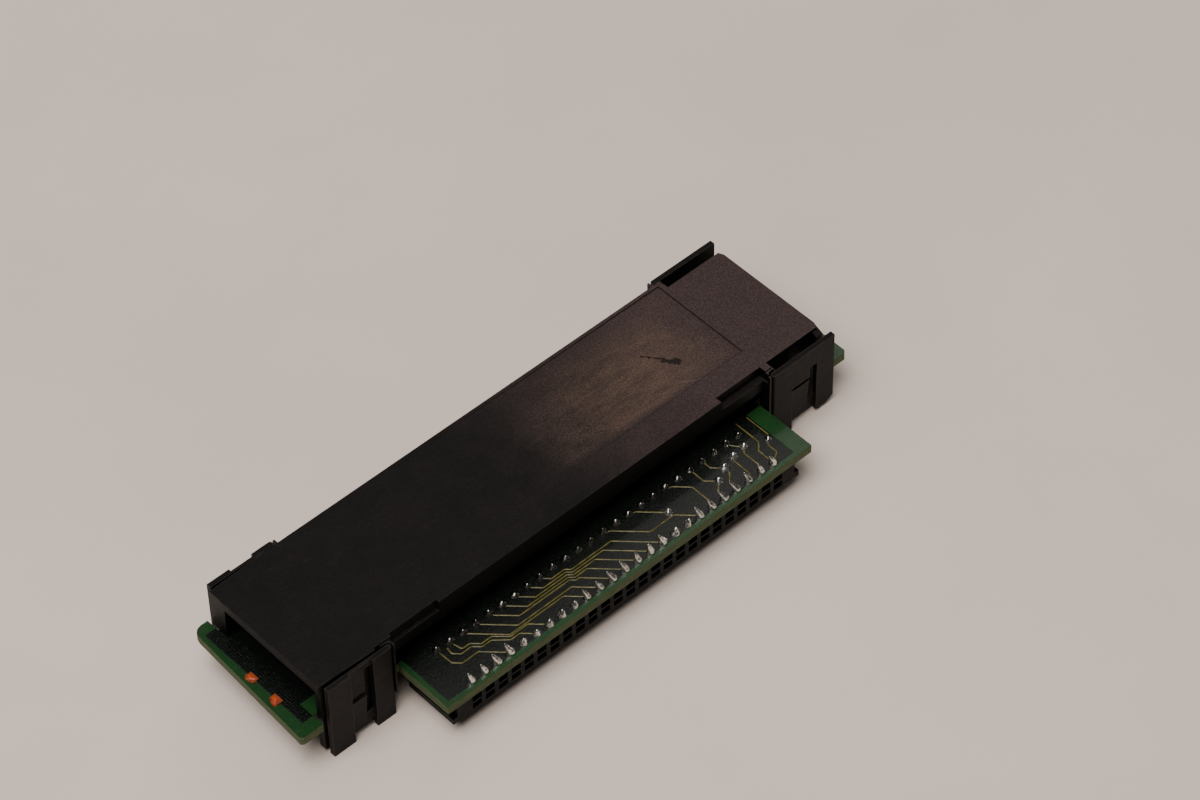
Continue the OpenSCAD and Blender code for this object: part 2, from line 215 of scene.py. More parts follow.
# a tapered stroke from A to B in the XY plane, in millimetres, with a ragged outline
strokeMask, gIn, gOut = newGroup("strokeMask", [("AX", 0.0), ("AY", 0.0), ("BX", 1.0), ("BY", 0.0),
                                                ("RadiusA", 0.1), ("RadiusB", 0.2), ("Ragged", 0.2)],
                                 [("Mask", "NodeSocketFloat")])
split = addNode(strokeMask, "ShaderNodeSeparateXYZ")
strokeMask.links.new(millimetres(strokeMask), split.inputs[0])
dx = math2(strokeMask, "SUBTRACT", gIn.outputs["BX"], gIn.outputs["AX"])
dy = math2(strokeMask, "SUBTRACT", gIn.outputs["BY"], gIn.outputs["AY"])
px = math2(strokeMask, "SUBTRACT", split.outputs["X"], gIn.outputs["AX"])
py = math2(strokeMask, "SUBTRACT", split.outputs["Y"], gIn.outputs["AY"])
along = math2(strokeMask, "ADD", math2(strokeMask, "MULTIPLY", px, dx), math2(strokeMask, "MULTIPLY", py, dy))
length2 = math2(strokeMask, "ADD", math2(strokeMask, "MULTIPLY", dx, dx), math2(strokeMask, "MULTIPLY", dy, dy))
t = math2(strokeMask, "DIVIDE", along, length2, True)
ox = math2(strokeMask, "SUBTRACT", px, math2(strokeMask, "MULTIPLY", t, dx))
oy = math2(strokeMask, "SUBTRACT", py, math2(strokeMask, "MULTIPLY", t, dy))
away = math2(strokeMask, "SQRT", math2(strokeMask, "ADD", math2(strokeMask, "MULTIPLY", ox, ox),
                                       math2(strokeMask, "MULTIPLY", oy, oy)))
wobble = math2(strokeMask, "MULTIPLY",
               math2(strokeMask, "SUBTRACT", noise(strokeMask, millimetres(strokeMask), 1.6, 3.0, 0.7), 0.5),
               gIn.outputs["Ragged"])
radius = math2(strokeMask, "ADD", gIn.outputs["RadiusA"],
               math2(strokeMask, "MULTIPLY", t, math2(strokeMask, "SUBTRACT", gIn.outputs["RadiusB"],
                                                      gIn.outputs["RadiusA"])))
inside = math2(strokeMask, "SUBTRACT", math2(strokeMask, "ADD", radius, wobble), away)
strokeMask.links.new(math2(strokeMask, "DIVIDE", inside, 0.12, True), gOut.inputs["Mask"])
print("shader groups built")


# materials

def newMaterial(name, **values):
    material = bpy.data.materials.new(name)
    material.use_nodes = True
    tree = material.node_tree
    tree.nodes.clear()
    output = addNode(tree, "ShaderNodeOutputMaterial", 900)
    bsdf = addNode(tree, "ShaderNodeBsdfPrincipled", 600)
    tree.links.new(bsdf.outputs[0], output.inputs[0])
    for key, value in values.items():
        bsdf.inputs[key].default_value = (*value, 1.0) if isinstance(value, tuple) else value
    return material, tree, bsdf


def addBump(tree, bsdf, height, distance, strength=1.0):
    bump = addNode(tree, "ShaderNodeBump")
    bump.inputs["Distance"].default_value = distance
    bump.inputs["Strength"].default_value = strength
    tree.links.new(height, bump.inputs["Height"])
    tree.links.new(bump.outputs[0], bsdf.inputs["Normal"])


# side is painted shade for the cover's sideways faces
coverFinish = {"black": (0.0046, 0.0042, 0.0044), "haze": (0.1, 0.065, 0.064), "rub": (0.205, 0.132, 0.094),
               "wearAndHighlight": (0.1, 0.085, 0.078), "side": (0.0025, 0.0024, 0.0025), "grain": 0.28, "farRampFrom": -8.0,
               "farRampTo": 33.0}


def makeCoverPlastic():
    material, tree, bsdf = newMaterial("coverPlastic", **{"Roughness": 0.5, "Specular IOR Level": 0.21})
    where = millimetres(tree)
    split = addNode(tree, "ShaderNodeSeparateXYZ")
    tree.links.new(where, split.inputs[0])
    grain = useGroup(tree, mouldGrain, Size=coverFinish["grain"], Coarse=0.25)
    # lighter toward the far end, darker toward the near one
    wander = math2(tree, "MULTIPLY", math2(tree, "SUBTRACT", noise(tree, where, 0.06, 4.0, 0.6), 0.5), 34.0)
    farRamp = ramp(tree, math2(tree, "ADD", split.outputs["X"], wander),
                 coverFinish["farRampFrom"], coverFinish["farRampTo"])
    dust = useGroup(tree, dustFilm, Amount=0.55, Cloud=0.09, Speck=3.2)
    up = ramp(tree, split.outputs["Z"], 14.9, 15.2)
    farRamp = math2(tree, "MULTIPLY", farRamp, math2(tree, "ADD", 0.12, math2(tree, "MULTIPLY", up, 0.88)))
    tone = mixColor(tree, math2(tree, "MULTIPLY", farRamp, 0.85), coverFinish["black"], coverFinish["haze"])
    tone = mixColor(tree, math2(tree, "MULTIPLY", math2(tree, "MULTIPLY", dust.outputs["Mask"], 0.16), up), tone,
                    coverFinish["haze"])
    # glue and dust left where the label sat
    label = useGroup(tree, rectMask, X0=-16.0, X1=38.2, Y0=-1.9, Y1=16.6, Soft=1.2)
    ripple = math2(tree, "MULTIPLY", math2(tree, "SUBTRACT", noise(tree, where, 0.12, 5.0, 0.62), 0.5), 20.0)
    far = ramp(tree, math2(tree, "ADD", split.outputs["X"], ripple), -2.0, 22.0)
    farEdge = ramp(tree, math2(tree, "ADD", split.outputs["X"], ripple), 41.0, 27.0)
    side = ramp(tree, math2(tree, "ADD", split.outputs["Y"], math2(tree, "MULTIPLY", ripple, 0.7)), 17.0, 6.0)
    streak = addNode(tree, "ShaderNodeMapping")
    streak.inputs["Scale"].default_value = (0.18, 0.75, 1.0)
    streak.inputs["Rotation"].default_value = (0.0, 0.0, 0.5)
    tree.links.new(where, streak.inputs["Vector"])
    streaks = ramp(tree, noise(tree, streak.outputs[0], 1.0, 5.0, 0.7), 0.3, 0.68, 0.35, 1.0)
    rub = math2(tree, "MULTIPLY", math2(tree, "MULTIPLY", far, farEdge), math2(tree, "MULTIPLY", side, streaks))
    rub = math2(tree, "MULTIPLY", math2(tree, "MULTIPLY", rub, label.outputs["Mask"]), up)
    speckle = ramp(tree, noise(tree, where, 2.6, 3.0, 0.75), 0.32, 0.66, 0.55, 1.0)
    rub = math2(tree, "MULTIPLY", rub, speckle)
    tone = mixColor(tree, math2(tree, "MULTIPLY", rub, 0.88), tone, coverFinish["rub"])
    # painted shade line along the step at the right side of the label recess
    stepShadeLine = useGroup(tree, rectMask, X0=-14.0, X1=38.7, Y0=-2.25, Y1=-1.9, Soft=0.12)
    fade = ramp(tree, split.outputs["X"], -12.0, 14.0)
    stepShadeLine = math2(tree, "MULTIPLY", math2(tree, "MULTIPLY", stepShadeLine.outputs["Mask"], fade),
                 math2(tree, "MULTIPLY", up, 0.75))
    tone = mixColor(tree, stepShadeLine, tone, coverFinish["black"])
    # one gouge and a few short scuffs beside it
    tail = useGroup(tree, strokeMask, AX=26.6, AY=7.9, BX=28.9, BY=5.0, RadiusA=0.06, RadiusB=0.22, Ragged=1.1)
    head = useGroup(tree, strokeMask, AX=28.5, AY=4.9, BX=30.0, BY=3.3, RadiusA=0.22, RadiusB=0.6, Ragged=1.9)
    gouge = math2(tree, "MAXIMUM", tail.outputs["Mask"], head.outputs["Mask"])
    tone = mixColor(tree, math2(tree, "MULTIPLY", math2(tree, "MULTIPLY", gouge, 0.88), up), tone,
                    (0.01, 0.008, 0.007))
    scuffs = None
    for ax, ay, bx, by in ((24.6, 2.2, 28.6, -0.9), (25.4, 0.9, 29.2, -1.4), (23.2, 0.4, 25.6, -1.1)):
        scuff = useGroup(tree, strokeMask, AX=ax, AY=ay, BX=bx, BY=by, RadiusA=0.08, RadiusB=0.1, Ragged=0.25)
        mask = scuff.outputs["Mask"]
        scuffs = mask if scuffs is None else math2(tree, "MAXIMUM", scuffs, mask)
    tone = mixColor(tree, math2(tree, "MULTIPLY", math2(tree, "MULTIPLY", scuffs, 0.7), up), tone,
                    (0.24, 0.18, 0.14))
    lines = useGroup(tree, scratchLines, Amount=0.35, Density=0.7, Turn=0.12)
    tone = mixColor(tree, lines.outputs["Mask"], tone, coverFinish["haze"])
    # edge mask: rubbed wear plus a painted edge highlight in the wear colour
    wornAndHighlit = useGroup(tree, edgeWearAndHighlight, Amount=0.55, Breakup=0.75, Scale=0.45)
    tone = mixColor(tree, wornAndHighlit.outputs["Mask"], tone, coverFinish["wearAndHighlight"])
    # the sides get painted shade, darker than the roof, and grain breaks up the tone of the roof
    facing = addNode(tree, "ShaderNodeNewGeometry")
    lift = addNode(tree, "ShaderNodeSeparateXYZ")
    tree.links.new(facing.outputs["Normal"], lift.inputs[0])
    level = ramp(tree, lift.outputs["Z"], 0.25, 0.8)
    tone = mixColor(tree, level, coverFinish["side"], tone)
    fleck = mixColor(tree, math2(tree, "MULTIPLY", grain.outputs["Tone"], 0.62), tone, (0.0, 0.0, 0.0))
    mottle = ramp(tree, noise(tree, where, 3.2, 2.0, 0.65), 0.36, 0.64, 0.38, 0.0)
    fleck = mixColor(tree, mottle, fleck, (0.0, 0.0, 0.0))
    tree.links.new(fleck, bsdf.inputs["Base Color"])
    rough = math2(tree, "ADD", 0.4, math2(tree, "MULTIPLY", noise(tree, where, 0.5, 4.0, 0.6), 0.2))
    rough = math2(tree, "ADD", rough, math2(tree, "MULTIPLY", rub, 0.12))
    rough = math2(tree, "SUBTRACT", rough, math2(tree, "MULTIPLY", wornAndHighlit.outputs["Mask"], 0.12), True)
    tree.links.new(rough, bsdf.inputs["Roughness"])
    relief = math2(tree, "SUBTRACT", grain.outputs["Height"], math2(tree, "MULTIPLY", gouge, 3.0))
    addBump(tree, bsdf, relief, 0.065 * mm, 0.95)
    return material


latchFinish = {"black": (0.0045, 0.0042, 0.0043), "haze": (0.011, 0.009, 0.0088), "wearAndHighlight": (0.07, 0.06, 0.055)}


def makeLatchPlastic():
    material, tree, bsdf = newMaterial("latchPlastic", **{"Specular IOR Level": 0.12})
    where = millimetres(tree)
    grain = useGroup(tree, mouldGrain, Size=0.3, Coarse=0.5)
    dust = useGroup(tree, dustFilm, Amount=0.6, Cloud=0.3, Speck=4.0)
    tone = mixColor(tree, math2(tree, "MULTIPLY", noise(tree, where, 0.4, 4.0, 0.6), 0.45),
                    latchFinish["black"], latchFinish["haze"])
    tone = mixColor(tree, dust.outputs["Mask"], tone, latchFinish["haze"])
    lines = useGroup(tree, scratchLines, Amount=0.4, Density=0.9, Turn=1.2)
    tone = mixColor(tree, lines.outputs["Mask"], tone, latchFinish["wearAndHighlight"])
    # edge mask: rubbed wear plus a painted edge highlight in the wear colour
    wornAndHighlit = useGroup(tree, edgeWearAndHighlight, Amount=0.75, Breakup=0.6, Scale=0.9)
    tone = mixColor(tree, wornAndHighlit.outputs["Mask"], tone, latchFinish["wearAndHighlight"])
    tree.links.new(tone, bsdf.inputs["Base Color"])
    rough = math2(tree, "ADD", 0.4, math2(tree, "MULTIPLY", noise(tree, where, 0.8, 4.0, 0.6), 0.22))
    tree.links.new(math2(tree, "SUBTRACT", rough, math2(tree, "MULTIPLY", wornAndHighlit.outputs["Mask"], 0.1), True),
                   bsdf.inputs["Roughness"])
    addBump(tree, bsdf, grain.outputs["Height"], 0.018 * mm, 0.8)
    return material


# the last of the plane rectangles is painted shade over the board's near tip
boardFinish = {"planeAndShade": (0.003, 0.0048, 0.0036), "planeGlints": (0.012, 0.017, 0.012),
               "bare": (0.013, 0.058, 0.016), "bareDeep": (0.008, 0.034, 0.01),
               "cut": (0.052, 0.08, 0.028), "cutFibre": (0.14, 0.145, 0.07),
               "planesAndShadeStrip": ((-53.1, -36.0, -3.4, 15.6), (-37.0, 37.6, -7.4, 14.6), (37.0, 53.2, -4.4, 13.6),
                          (-35.15, 34.6, -17.75, -6.5), (-53.1, -51.0, -6.4, 16.0))}


def makeBoardLaminate():
    material, tree, bsdf = newMaterial("boardLaminate", **{"Coat Roughness": 0.1, "Specular IOR Level": 0.36})
    where = millimetres(tree)
    planeAndShade = None
    # dark copper-plane areas, plus painted shade at the near tip from the last rectangle
    for x0, x1, y0, y1 in boardFinish["planesAndShadeStrip"]:
        part = useGroup(tree, rectMask, X0=x0, X1=x1, Y0=y0, Y1=y1, Soft=0.12)
        planeAndShade = part.outputs["Mask"] if planeAndShade is None else math2(tree, "MAXIMUM", planeAndShade, part.outputs["Mask"])
    cloudy = noise(tree, where, 0.55, 4.0, 0.6)
    weave = addNode(tree, "ShaderNodeTexWave", wave_type="BANDS", bands_direction="X", wave_profile="SIN")
    tree.links.new(where, weave.inputs["Vector"])
    weave.inputs["Scale"].default_value = 0.7
    weave.inputs["Distortion"].default_value = 1.5
    bare = mixColor(tree, cloudy, boardFinish["bareDeep"], boardFinish["bare"])
    bare = mixColor(tree, math2(tree, "MULTIPLY", weave.outputs["Fac"], 0.18), bare, (0.026, 0.085, 0.026))
    # lighter specks on the dark planes are painted glints, denser in patches
    speck = ramp(tree, noise(tree, where, 3.4, 3.0, 0.8), 0.46, 0.78)
    glintPatches = ramp(tree, noise(tree, where, 0.32, 4.0, 0.6), 0.4, 0.72)
    dark = mixColor(tree,
                    math2(tree, "MULTIPLY", speck, math2(tree, "ADD", 0.25, math2(tree, "MULTIPLY", glintPatches, 0.7))),
                    boardFinish["planeAndShade"], boardFinish["planeGlints"])
    face = mixColor(tree, planeAndShade, bare, dark)
    # sawn edge: pale laminate with glass fibres lying flat
    normal = addNode(tree, "ShaderNodeNewGeometry")
    split = addNode(tree, "ShaderNodeSeparateXYZ")
    tree.links.new(normal.outputs["Normal"], split.inputs[0])
    flat = ramp(tree, math2(tree, "ABSOLUTE", split.outputs["Z"]), 0.45, 0.75)
    fibre = addNode(tree, "ShaderNodeMapping")
    fibre.inputs["Scale"].default_value = (0.5, 0.5, 9.0)
    tree.links.new(where, fibre.inputs["Vector"])
    fibres = ramp(tree, noise(tree, fibre.outputs[0], 1.0, 3.0, 0.7), 0.42, 0.68)
    cut = mixColor(tree, math2(tree, "MULTIPLY", fibres, 0.6), boardFinish["cut"], boardFinish["cutFibre"])
    cut = mixColor(tree,
                   math2(tree, "MULTIPLY", ramp(tree, noise(tree, where, 0.9, 3.0, 0.6), 0.5, 0.7), 0.5), cut,
                   (0.03, 0.08, 0.03))
    tree.links.new(mixColor(tree, flat, cut, face), bsdf.inputs["Base Color"])
    gloss = ramp(tree, noise(tree, where, 1.5, 4.0, 0.6), 0.35, 0.7, 0.14, 0.3)
    rough = addNode(tree, "ShaderNodeMix", data_type="FLOAT")
    tree.links.new(flat, rough.inputs[0])
    rough.inputs[2].default_value = 0.75
    tree.links.new(gloss, rough.inputs[3])
    tree.links.new(rough.outputs[0], bsdf.inputs["Roughness"])
    tree.links.new(math2(tree, "MULTIPLY", flat, 0.25), bsdf.inputs["Coat Weight"])
    pebbled = math2(tree, "MULTIPLY", noise(tree, where, 3.0, 3.0, 0.75), math2(tree, "ADD", 0.5, planeAndShade))
    relief = math2(tree, "ADD", pebbled, math2(tree, "MULTIPLY", weave.outputs["Fac"], 0.25))
    addBump(tree, bsdf, relief, 0.055 * mm, 0.9)
    return material


def makeTrackCopper():
    material, tree, bsdf = newMaterial("trackCopper", **{"Specular IOR Level": 0.55, "Coat Weight": 0.3})
    where = millimetres(tree)
    tone = mixColor(tree, ramp(tree, noise(tree, where, 1.1, 4.0, 0.65), 0.3, 0.7), (0.06, 0.06, 0.012),
                    (0.19, 0.165, 0.035))
    tree.links.new(tone, bsdf.inputs["Base Color"])
    tree.links.new(ramp(tree, noise(tree, where, 2.0, 3.0), 0.3, 0.7, 0.26, 0.44), bsdf.inputs["Roughness"])
    addBump(tree, bsdf, noise(tree, where, 4.0, 2.0), 0.01 * mm, 0.5)
    return material


def makeSolder(name, bright, dark):
    material, tree, bsdf = newMaterial(name, **{"Metallic": 1.0})
    where = millimetres(tree)
    dull = ramp(tree, noise(tree, where, 1.6, 4.0, 0.65), 0.4, 0.72)
    tree.links.new(mixColor(tree, dull, bright, dark), bsdf.inputs["Base Color"])
    tree.links.new(ramp(tree, noise(tree, where, 3.0, 3.0, 0.7), 0.3, 0.7, 0.15, 0.32),
                   bsdf.inputs["Roughness"])
    addBump(tree, bsdf, noise(tree, where, 3.5, 3.0, 0.6), 0.05 * mm, 0.5)
    return material


def makePlating():
    material, tree, bsdf = newMaterial("contactPlating", **{"Metallic": 1.0})
    where = millimetres(tree)
    tone = mixColor(tree, ramp(tree, noise(tree, where, 1.4, 3.0), 0.35, 0.7),
                    (0.78, 0.56, 0.24), (0.5, 0.35, 0.16))
    tree.links.new(tone, bsdf.inputs["Base Color"])
    tree.links.new(ramp(tree, noise(tree, where, 4.0, 3.0), 0.3, 0.7, 0.18, 0.35), bsdf.inputs["Roughness"])
    return material


def makeSimplePlastic(name, base, second, rough=(0.35, 0.55), grainSize=0.3, bump=0.01, wearAndHighlight=0.4, **extra):
    material, tree, bsdf = newMaterial(name, **extra)
    where = millimetres(tree)
    grain = useGroup(tree, mouldGrain, Size=grainSize, Coarse=0.3)
    tone = mixColor(tree, ramp(tree, noise(tree, where, 0.7, 4.0, 0.6), 0.3, 0.7), base, second)
    wornAndHighlit = useGroup(tree, edgeWearAndHighlight, Amount=wearAndHighlight, Breakup=0.7, Scale=1.1)
    pale = tuple(min(1.0, channel * 2.2 + 0.05) for channel in second)
    tree.links.new(mixColor(tree, wornAndHighlit.outputs["Mask"], tone, pale), bsdf.inputs["Base Color"])
    gloss = ramp(tree, noise(tree, where, 1.2, 4.0, 0.6), 0.3, 0.7, rough[0], rough[1])
    tree.links.new(gloss, bsdf.inputs["Roughness"])
    addBump(tree, bsdf, grain.outputs["Height"], bump * mm, 0.8)
    return material


coverPlastic = makeCoverPlastic()
latchPlastic = makeLatchPlastic()
boardLaminate = makeBoardLaminate()
trackCopper = makeTrackCopper()
solderMetal = makeSolder("solderMetal", (0.86, 0.85, 0.82), (0.42, 0.41, 0.38))
# a darker copy of the solder: painted shade and dark reflection for the rear row beside the cover's lip
shadedRearSolder = makeSolder("shadedRearSolder", (0.3, 0.29, 0.26), (0.05, 0.048, 0.04))
contactPlating = makePlating()
socketPlastic = makeSimplePlastic("socketPlastic", (0.003, 0.003, 0.0034), (0.006, 0.0056, 0.0062),
                                  (0.52, 0.64), 0.35, 0.01, 0.06, **{"Specular IOR Level": 0.12})
chipEpoxy = makeSimplePlastic("chipEpoxy", (0.012, 0.012, 0.013), (0.022, 0.022, 0.023),
                              (0.55, 0.7), 0.12, 0.012, 0.3)
leadTin = makeSimplePlastic("leadTin", (0.62, 0.62, 0.6), (0.45, 0.45, 0.44), (0.25, 0.4), 0.2, 0.006, 0.1,
                            Metallic=1.0)
networkCoat = makeSimplePlastic("networkCoat", (0.01, 0.008, 0.012), (0.02, 0.016, 0.022),
                                (0.12, 0.25), 0.9, 0.02, 0.1)
capacitorCeramic = makeSimplePlastic("capacitorCeramic", (0.33, 0.21, 0.12), (0.42, 0.29, 0.18),
                                     (0.4, 0.55), 0.1, 0.005, 0.1)
tankResin = makeSimplePlastic("tankResin", (0.6, 0.36, 0.05), (0.5, 0.28, 0.04), (0.25, 0.4), 0.3, 0.008, 0.2)
lampBase = makeSimplePlastic("lampBase", (0.16, 0.03, 0.01), (0.3, 0.06, 0.015), (0.35, 0.5), 0.15, 0.01, 0.1)
lampLens = makeSimplePlastic("lampLens", (0.36, 0.03, 0.007), (0.6, 0.1, 0.018), (0.2, 0.4), 0.5, 0.03, 0.1)
print("materials built")


# mesh helpers

def linkObject(name, mesh, *materials):
    obj = bpy.data.objects.new(name, mesh)
    bpy.context.scene.collection.objects.link(obj)
    obj.data.materials.clear()
    for material in materials:
        obj.data.materials.append(material)
    return obj


def copyOfNode(name, node, material):
    mesh = nodes[node].data.copy()
    mesh.name = name
    bm = bmesh.new()
    bm.from_mesh(mesh)
    bmesh.ops.remove_doubles(bm, verts=bm.verts, dist=0.002 * mm)
    bmesh.ops.dissolve_limit(bm, angle_limit=math.radians(0.8), verts=bm.verts, edges=bm.edges)
    bm.to_mesh(mesh)
    bm.free()
    return linkObject(name, mesh, material)


def softEdges(obj, width, segments=3, angle=35.0):
    bevel = obj.modifiers.new("edgeRadius", "BEVEL")
    bevel.width = width * mm
    bevel.segments = segments
    bevel.limit_method = "ANGLE"
    bevel.angle_limit = math.radians(angle)
    bevel.use_clamp_overlap = True
    bevel.miter_outer = "MITER_ARC"
    weighted = obj.modifiers.new("evenNormals", "WEIGHTED_NORMAL")
    weighted.weight = 60
    for polygon in obj.data.polygons:
        polygon.use_smooth = True


def bakeModifiers(obj):
    graph = bpy.context.evaluated_depsgraph_get()
    mesh = bpy.data.meshes.new_from_object(obj.evaluated_get(graph))
    obj.modifiers.clear()
    old = obj.data
    obj.data = mesh
    bpy.data.meshes.remove(old)
    return obj


def roundSomeEdges(obj, radius, segments, wanted):
    bm = bmesh.new()
    bm.from_mesh(obj.data)
    chosen = [edge for edge in bm.edges
              if len(edge.link_faces) == 2 and edge.calc_face_angle(0) > 0.6 and wanted(edge)]
    bmesh.ops.bevel(bm, geom=chosen, offset=radius * mm, segments=segments, profile=0.5, affect="EDGES",
                    clamp_overlap=True)
    bm.to_mesh(obj.data)
    bm.free()


def finishPiece(obj, body, slotName, *standsFor):
    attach(obj, body)
    if standsFor:
        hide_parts(*standsFor)


def boxInto(bm, x0, x1, y0, y1, z0, z1):
    made = bmesh.ops.create_cube(bm, size=1.0)
    for vert in made["verts"]:
        vert.co = Vector(((x0 + x1) / 2 + vert.co.x * (x1 - x0), (y0 + y1) / 2 + vert.co.y * (y1 - y0),
                          (z0 + z1) / 2 + vert.co.z * (z1 - z0))) * mm
    return made["verts"]


# cover

coverSize = {"roofRadius": 0.42, "smallRadius": 0.07}
cover = copyOfNode("coverShell", "cover", coverPlastic)
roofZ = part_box("cover")[1][2]


def onRoofRim(edge):
    middle = (edge.verts[0].co + edge.verts[1].co) / 2 / mm
    inLabel = middle.x > -21.5 and middle.x < 39.0 and middle.y > -2.5 and middle.y < 16.9
    return middle.z > roofZ / mm - 0.9 and edge.verts[0].co.z > roofZ - 1.7 * mm and not inLabel


roundSomeEdges(cover, coverSize["roofRadius"], 4, onRoofRim)
softEdges(cover, coverSize["smallRadius"], 2, 40.0)
finishPiece(cover, "module", "cover_plastic", "cover")
print("cover done")

# latches

latchSize = {"edge": 0.14}
for node, body in (("latch_near_right", "near_right"), ("latch_near_left", "near_left"),
                   ("latch_far_right", "far_right"), ("latch_far_left", "far_left")):
    latch = copyOfNode(node.replace("_", "") + "Plate", node, latchPlastic)
    softEdges(latch, latchSize["edge"], 3, 35.0)
    finishPiece(latch, body, "latch_plastic", node)
print("latches done")

# board: plain laminate plate, its tracks, and solder joints on the tracks

boardSize = {"edge": 0.06}
boardPlate = copyOfNode("boardPlate", "board", boardLaminate)
softEdges(boardPlate, boardSize["edge"], 2, 40.0)
finishPiece(boardPlate, "module", "board_laminate", "board")
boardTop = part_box("board")[1][2] / mm
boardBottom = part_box("board")[0][2] / mm
firstX = -30.15
frontY = -17.075
pitch = 2.54
pinCount = 25
rowGap = 7.62

# tracks: each leaves a front tail at 45 degrees, joins the bundle, and leaves it for a rear tail
trackPlan = {"width": 0.22, "height": 0.035, "laneTop": 5.5, "laneStep": 0.5, "lines": 7, "firstPin": 15,
             "pinShift": 7, "jogs": ((24.6, 0.7),)}


def bundleTracks(plan):
    paths = []
    for line in range(plan["lines"]):
        pin = plan["firstPin"] - line
        startX = pin * pitch
        lane = plan["laneTop"] - plan["laneStep"] * line
        joined = startX - lane
        path = [(startX, 0.0), (joined, lane)]
        target = pin - plan["pinShift"]
        goalX = target * pitch
        leave = goalX + max(0.0, 7.0 - lane)
        for jogAt, rise in plan["jogs"]:
            jogX = jogAt - 0.414 * plan["laneStep"] * line  # keeps the lanes evenly apart through the turn
            if joined > jogX and leave < jogX - rise:
                path += [(jogX, lane), (jogX - rise, lane + rise)]
                lane += rise
                leave = goalX + max(0.0, 7.0 - lane)
        if target >= 0:
            path += [(goalX + 7.2 - lane, lane), (goalX, 7.2)]
        else:
            turn = 1.6 - 0.55 * (-target)
            path += [(turn, lane), (turn - 0.9, lane + 0.9), (turn - 0.9, 9.6)]
        paths.append(path)
    return paths


looseTracks = [
    [(45.72, 0.0), (42.9, 2.8), (38.1, 2.8), (33.9, 7.0), (33.02, 7.3)],
    [(42.7, 3.65), (42.0, 4.35), (39.2, 7.15), (38.1, 7.4)],
    [(48.26, 0.0), (48.7, 0.9), (48.7, 4.9), (46.6, 7.0), (45.72, 7.3)],
    [(50.8, 0.0), (50.8, 1.4), (52.4, 3.0)],
    [(53.34, 0.0), (53.34, 1.6), (54.8, 3.1), (54.8, 4.3)],
    [(55.88, 0.0), (56.9, 1.0), (56.9, 4.4), (57.4, 5.0)],
    [(58.42, 0.0), (59.1, 0.7), (59.1, 4.4), (60.0, 5.4)],
    [(61.0, 0.0), (61.0, 3.2), (62.3, 4.6), (62.3, 9.6)],
    [(63.7, 3.9), (62.9, 3.1), (62.9, 1.2), (60.96, 0.0)],
    [(63.7, 3.9), (64.4, 4.7), (64.4, 9.4)],
    [(60.0, 5.4), (59.2, 6.2), (58.42, 7.4)],
    [(54.8, 4.3), (53.34, 5.8), (53.34, 7.4)],
    [(52.4, 3.0), (50.8, 4.6), (50.8, 7.4)],
    [(15.24, 0.0), (13.0, 2.2), (9.6, 2.2), (7.6, 4.1), (5.6, 4.1), (4.4, 5.3), (2.9, 5.3), (2.54, 6.9)],
    [(12.7, 0.0), (11.0, 1.7), (9.2, 1.7), (7.1, 3.6), (5.3, 3.6), (4.2, 4.7), (2.2, 4.7), (1.2, 5.7),
     (1.4, 6.9)],
    [(7.62, 0.0), (6.1, 1.5), (4.3, 3.3), (1.2, 3.3), (0.1, 4.4), (0.0, 6.9)],
]


def makeTrackTree():
    tree = bpy.data.node_groups.new("trackRibbon", "GeometryNodeTree")
    face = tree.interface
    face.new_socket("Geometry", in_out="INPUT", socket_type="NodeSocketGeometry")
    for label, value in (("Width", 0.00027), ("Height", 0.00004), ("Corner", 0.0004)):
        socket = face.new_socket(label, in_out="INPUT", socket_type="NodeSocketFloat")
        socket.default_value = value
    face.new_socket("Finish", in_out="INPUT", socket_type="NodeSocketMaterial")
    face.new_socket("Geometry", in_out="OUTPUT", socket_type="NodeSocketGeometry")
    gIn = addNode(tree, "NodeGroupInput", -800)
    gOut = addNode(tree, "NodeGroupOutput", 800)
    curve = addNode(tree, "GeometryNodeMeshToCurve", -600)
    fillet = addNode(tree, "GeometryNodeFilletCurve", -400, mode="POLY")
    fillet.inputs["Count"].default_value = 4
    profile = addNode(tree, "GeometryNodeCurvePrimitiveQuadrilateral", -400, -250)
    sweep = addNode(tree, "GeometryNodeCurveToMesh", 0)
    sweep.inputs["Fill Caps"].default_value = True
    realize = addNode(tree, "GeometryNodeRealizeInstances", 200)
    paint = addNode(tree, "GeometryNodeSetMaterial", 400)
    tree.links.new(gIn.outputs["Geometry"], curve.inputs[0])
    tree.links.new(curve.outputs[0], fillet.inputs["Curve"])
    tree.links.new(gIn.outputs["Corner"], fillet.inputs["Radius"])
    tree.links.new(gIn.outputs["Width"], profile.inputs["Width"])
    tree.links.new(gIn.outputs["Height"], profile.inputs["Height"])
    tree.links.new(fillet.outputs[0], sweep.inputs["Curve"])
    tree.links.new(profile.outputs[0], sweep.inputs["Profile Curve"])
    tree.links.new(sweep.outputs[0], realize.inputs[0])
    tree.links.new(realize.outputs[0], paint.inputs["Geometry"])
    tree.links.new(gIn.outputs["Finish"], paint.inputs["Material"])
    tree.links.new(paint.outputs[0], gOut.inputs[0])
    return tree


def setInput(modifier, label, value):
    for item in modifier.node_group.interface.items_tree:
        if item.item_type == "SOCKET" and item.in_out == "INPUT" and item.name == label:
            modifier[item.identifier] = value


trackTree = makeTrackTree()


